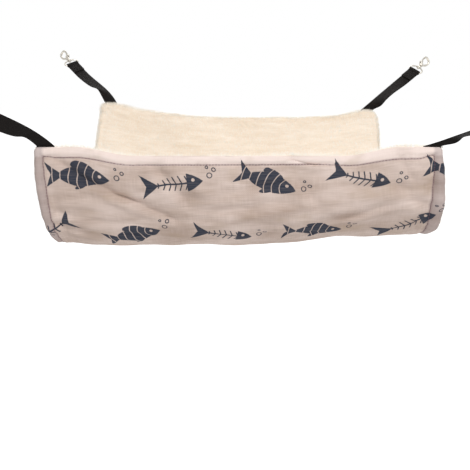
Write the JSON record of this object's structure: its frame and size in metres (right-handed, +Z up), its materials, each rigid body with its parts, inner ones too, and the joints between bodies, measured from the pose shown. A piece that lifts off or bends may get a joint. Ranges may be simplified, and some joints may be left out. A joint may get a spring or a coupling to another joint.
{
  "type": "small pet hammock",
  "caption": "Cloth hammock for a small pet: a two-layer bed, canvas outside and plush inside, hung by webbing straps with swivel snap hooks at its corners.",
  "frame": {"origin": "centre of the four places where the hooks hang, above the bed", "axes": "+X to the right along the bed's long edges, +Y from the front edge to the back edge, +Z up"},
  "size_m": [0.687, 0.3715, 0.2297],
  "materials": {
    "printed_canvas": "woven canvas, printed",
    "cream_plush": "short-pile plush",
    "mauve_thread": "sewing thread",
    "black_webbing": "ribbed webbing",
    "black_thread": "sewing thread",
    "nickel_plated_zinc": "nickel plated",
    "steel_pin": "plain"
  },
  "bodies": {
    "bed": {"outer_cover": "printed_canvas", "plush_lining": "cream_plush", "edge_topstitching": "mauve_thread", "front_left_strap_tail": "black_webbing", "front_right_strap_tail": "black_webbing", "back_left_strap_tail": "black_webbing", "back_right_strap_tail": "black_webbing"},
    "front_left_strap": {"front_left_strap": "black_webbing", "front_left_strap_stitching": "black_thread"},
    "front_left_eye": {"front_left_hook_eye": "nickel_plated_zinc"},
    "front_left_hook": {"front_left_hook_body": "nickel_plated_zinc", "front_left_gate_pin": "steel_pin"},
    "front_left_gate": {"front_left_hook_gate": "nickel_plated_zinc"},
    "front_right_strap": {"front_right_strap": "black_webbing", "front_right_strap_stitching": "black_thread"},
    "front_right_eye": {"front_right_hook_eye": "nickel_plated_zinc"},
    "front_right_hook": {"front_right_hook_body": "nickel_plated_zinc", "front_right_gate_pin": "steel_pin"},
    "front_right_gate": {"front_right_hook_gate": "nickel_plated_zinc"},
    "back_left_strap": {"back_left_strap": "black_webbing", "back_left_strap_stitching": "black_thread"},
    "back_left_eye": {"back_left_hook_eye": "nickel_plated_zinc"},
    "back_left_hook": {"back_left_hook_body": "nickel_plated_zinc", "back_left_gate_pin": "steel_pin"},
    "back_left_gate": {"back_left_hook_gate": "nickel_plated_zinc"},
    "back_right_strap": {"back_right_strap": "black_webbing", "back_right_strap_stitching": "black_thread"},
    "back_right_eye": {"back_right_hook_eye": "nickel_plated_zinc"},
    "back_right_hook": {"back_right_hook_body": "nickel_plated_zinc", "back_right_gate_pin": "steel_pin"},
    "back_right_gate": {"back_right_hook_gate": "nickel_plated_zinc"}
  },
  "joints": [
    {"name": "front_left_strap_fold", "type": "hinge", "parent": "bed", "child": "front_left_strap", "pos_m": [-0.22111, -0.17263, -0.06346], "axis": [1, -0.0001, -0.0003], "range_deg": [-95, 95]},
    {"name": "front_left_eye_swing", "type": "hinge", "parent": "front_left_strap", "child": "front_left_eye", "pos_m": [-0.31591, -0.1785, -0.01143], "axis": [-0.4887, -0.0492, -0.8711], "range_deg": [-120, 120]},
    {"name": "front_left_hook_swivel", "type": "hinge", "parent": "front_left_eye", "child": "front_left_hook", "pos_m": [-0.31591, -0.1785, -0.01143], "axis": [-0.8697, -0.051, 0.4909], "continuous": true},
    {"name": "front_left_gate_open", "type": "hinge", "parent": "front_left_hook", "child": "front_left_gate", "pos_m": [-0.32913, -0.17941, 0.00132], "axis": [0.0444, -0.9987, -0.0251], "range_deg": [0, 28], "stiffness_Nm_per_rad": 0.02, "springref_deg": -20.05},
    {"name": "front_right_strap_fold", "type": "hinge", "parent": "bed", "child": "front_right_strap", "pos_m": [0.20589, -0.1726, -0.06349], "axis": [1, 0.0001, 0.0003], "range_deg": [-95, 95]},
    {"name": "front_right_eye_swing", "type": "hinge", "parent": "front_right_strap", "child": "front_right_eye", "pos_m": [0.31083, -0.16748, -0.03599], "axis": [0.2188, 0.4332, -0.8743], "range_deg": [-120, 120]},
    {"name": "front_right_hook_swivel", "type": "hinge", "parent": "front_right_eye", "child": "front_right_hook", "pos_m": [0.31083, -0.16748, -0.03599], "axis": [0.9627, 0.0501, 0.2658], "continuous": true},
    {"name": "front_right_gate_open", "type": "hinge", "parent": "front_right_hook", "child": "front_right_gate", "pos_m": [0.32674, -0.16659, -0.02682], "axis": [-0.0483, 0.9987, -0.0133], "range_deg": [0, 28], "stiffness_Nm_per_rad": 0.02, "springref_deg": -20.05},
    {"name": "back_left_strap_fold", "type": "hinge", "parent": "bed", "child": "back_left_strap", "pos_m": [-0.21858, 0.1199, -0.05783], "axis": [0.9994, -0.0001, -0.0337], "range_deg": [-95, 90]},
    {"name": "back_left_eye_swing", "type": "hinge", "parent": "back_left_strap", "child": "back_left_eye", "pos_m": [-0.29205, 0.17184, 0.00171], "axis": [-0.693, -0.6764, -0.2496], "range_deg": [-120, 120]},
    {"name": "back_left_hook_swivel", "type": "hinge", "parent": "back_left_eye", "child": "back_left_hook", "pos_m": [-0.29205, 0.17184, 0.00171], "axis": [-0.6741, 0.4851, 0.5571], "continuous": true},
    {"name": "back_left_gate_open", "type": "hinge", "parent": "back_left_hook", "child": "back_left_gate", "pos_m": [-0.30112, 0.18048, 0.01518], "axis": [-0.3739, -0.8745, 0.309], "range_deg": [0, 28], "stiffness_Nm_per_rad": 0.02, "springref_deg": -20.05},
    {"name": "back_right_strap_fold", "type": "hinge", "parent": "bed", "child": "back_right_strap", "pos_m": [0.20839, 0.12002, -0.0686], "axis": [0.9998, 0.0004, -0.0177], "range_deg": [-95, 70]},
    {"name": "back_right_eye_swing", "type": "hinge", "parent": "back_right_strap", "child": "back_right_eye", "pos_m": [0.29188, 0.15182, -0.0078], "axis": [0.5609, -0.7447, -0.3618], "range_deg": [-120, 120]},
    {"name": "back_right_hook_swivel", "type": "hinge", "parent": "back_right_eye", "child": "back_right_hook", "pos_m": [0.29188, 0.15182, -0.0078], "axis": [0.766, 0.301, 0.568], "continuous": true},
    {"name": "back_right_gate_open", "type": "hinge", "parent": "back_right_hook", "child": "back_right_gate", "pos_m": [0.30278, 0.15718, 0.00601], "axis": [-0.2418, 0.9536, -0.1793], "range_deg": [0, 28], "stiffness_Nm_per_rad": 0.02, "springref_deg": -20.05}
  ]
}
